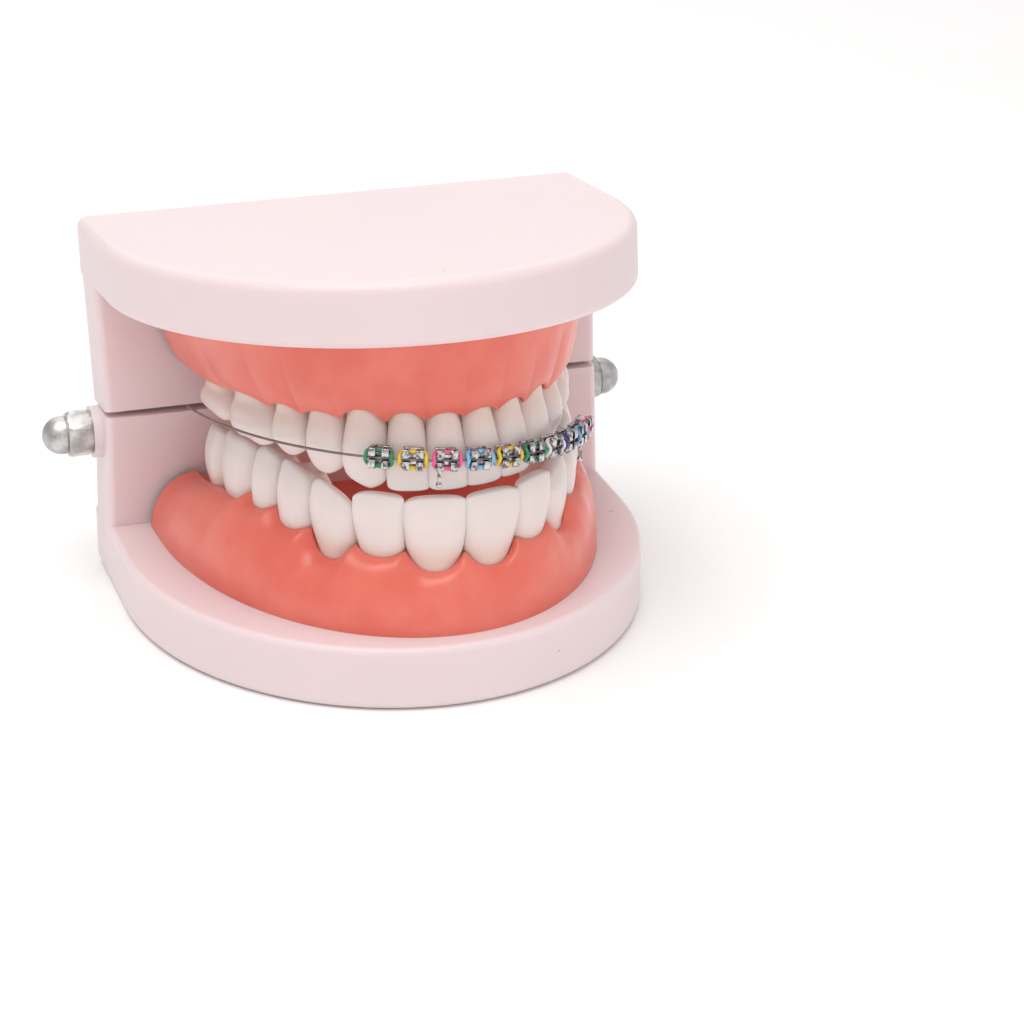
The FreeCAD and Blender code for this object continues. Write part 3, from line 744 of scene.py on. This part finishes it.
def ball(centre, radius, sides=14):
    """A round bead, ring by ring."""
    rings = []
    turns = np.linspace(0, 2 * math.pi, sides, endpoint=False)
    for a in np.linspace(-math.pi / 2 + 0.12, math.pi / 2 - 0.12, 9):
        rings.append(np.column_stack([centre[0] + radius * math.cos(a) * np.cos(turns),
                                      centre[1] + radius * math.cos(a) * np.sin(turns),
                                      np.full(sides, centre[2] + radius * math.sin(a))]))
    faces = ring_faces(len(rings), sides) + [tuple(range(sides))[::-1]]
    return np.array(rings).reshape(-1, 3).tolist(), faces


def bracket_shape(hooked):
    """Points and faces of one bracket, drawn with the wire's middle at the origin."""
    full = list(wing_outline) + [(y, -z) for y, z in wing_outline[::-1]]
    parts = [prism(full, -bracket_half, -twin_half), prism(full, twin_half, bracket_half)]
    web = [(0.45, 0.8), (pad_front, 0.9), (pad_front, -0.9), (0.45, -0.8)]
    parts.append(prism(web, -twin_half - 0.05, twin_half + 0.05))
    pad = [(pad_front, 1.5), (pad_front + 0.15, 1.6), (pad_back, 1.6), (pad_back, -1.6),
           (pad_front + 0.15, -1.6), (pad_front, -1.5)]
    parts.append(prism(pad, -bracket_half, bracket_half))
    if hooked:
        bead = (-bracket_half + 0.42, -0.25, -3.7)
        parts.append(tube([(bead[0], -0.25, z) for z in np.linspace(-1.2, bead[2], 6)], 0.28))
        parts.append(ball(bead, 0.48))
    points, faces = [], []
    for some, its_faces in parts:
        faces += [tuple(k + len(points) for k in f) for f in its_faces]
        points += [tuple(p) for p in some]
    return np.array(points), faces


def set_on_bow(points, station):
    """Turns a shape drawn at the origin to face outwards at a station of the bow, at rest."""
    plan, tangents = walk(bow_half, bow_depth, bow_shift, [station])[:2]
    t = tangents[0]
    x, y, z = np.asarray(points, float).T
    placed = [plan[0, 0] + t[0] * x - t[1] * y, plan[0, 1] + t[1] * x + t[0] * y, z]
    return lay_bow(np.column_stack(placed))


for index, station in enumerate(bracket_stations, start=1):
    points, faces = bracket_shape(index in (3, 9))
    piece = put_mesh("twin_bracket_%d" % index, set_on_bow(points, station), faces, bracket_steel,
                     "upper_jaw", ["bracket_%d" % index], ease=30.0)
    rounder = piece.modifiers.new("rounded", "BEVEL")
    rounder.width, rounder.segments, rounder.limit_method = 0.00007, 2, "ANGLE"
    rounder.angle_limit = math.radians(35)

# ---- elastics ------------------------------------------------------------------------------
# A coloured polyurethane ring ties the wire into each bracket. It is stretched under the four
# wings and crosses over the wire on both sides. Glossy, slightly clear, with moulding swirls.
elastic_colours = {
    "green": (0.02, 0.26, 0.11), "yellow": (0.80, 0.56, 0.03), "pink": (0.85, 0.10, 0.30),
    "blue": (0.22, 0.52, 0.80), "white": (0.78, 0.80, 0.84), "purple": (0.06, 0.03, 0.20),
}
elastic_order = ("green", "yellow", "pink", "blue", "yellow",
                 "green", "white", "purple", "blue", "pink")
elastic_finishes = {}
for name, shade in elastic_colours.items():
    elastic_finishes[name], spot = new_finish("elastic_" + name)
    swirl = spot.grain(1800.0, 3.0)
    deep_shade = (*(part * 0.8 for part in shade), 1)
    pale_shade = (*(min(1, part * 1.15 + 0.02) for part in shade), 1)
    close_finish(spot, {
        "Base Color": swirl.blend(deep_shade, pale_shade),
        "Roughness": swirl * 0.2 + 0.2,
        "Subsurface Weight": 0.2,
        "Subsurface Radius": (1.0, 1.0, 1.0),
        "Subsurface Scale": 0.0004,
        "Coat Weight": 0.3,
        "Coat Roughness": 0.1,
        "Normal": swirl.bump(0.15, 0.00003),
    })
# One quarter of the ring's middle line, from over the wire at the side to the gap between wings.
ring_quarter = ((2.02, -0.46, 0.0), (2.04, -0.34, 0.34), (2.0, 0.05, 0.72), (1.84, 0.42, 1.02),
                (1.48, 0.48, 1.23), (1.0, 0.42, 1.28), (0.42, 0.16, 1.28), (0.0, 0.02, 1.28))
ring_path = list(ring_quarter)
ring_path += [(-x, y, z) for x, y, z in ring_quarter[-2::-1]]
ring_path += [(-x, y, -z) for x, y, z in ring_quarter[1:]]
ring_path += [(x, y, -z) for x, y, z in ring_quarter[-2:0:-1]]
ring_radii = [0.32 if abs(z) < 0.5 else 0.35 for _, _, z in ring_path]      # thinner over the wire
for index, (station, colour) in enumerate(zip(bracket_stations, elastic_order), start=1):
    points, faces = tube(ring_path, ring_radii, 10, closed=True)
    piece = put_mesh("elastic_ring_%d" % index, set_on_bow(points, station), faces,
                     elastic_finishes[colour], "upper_jaw",
                     ["ligature_%d" % index], ease=180.0)
    softer = piece.modifiers.new("smooth", "SUBSURF")
    softer.levels = softer.render_levels = 1
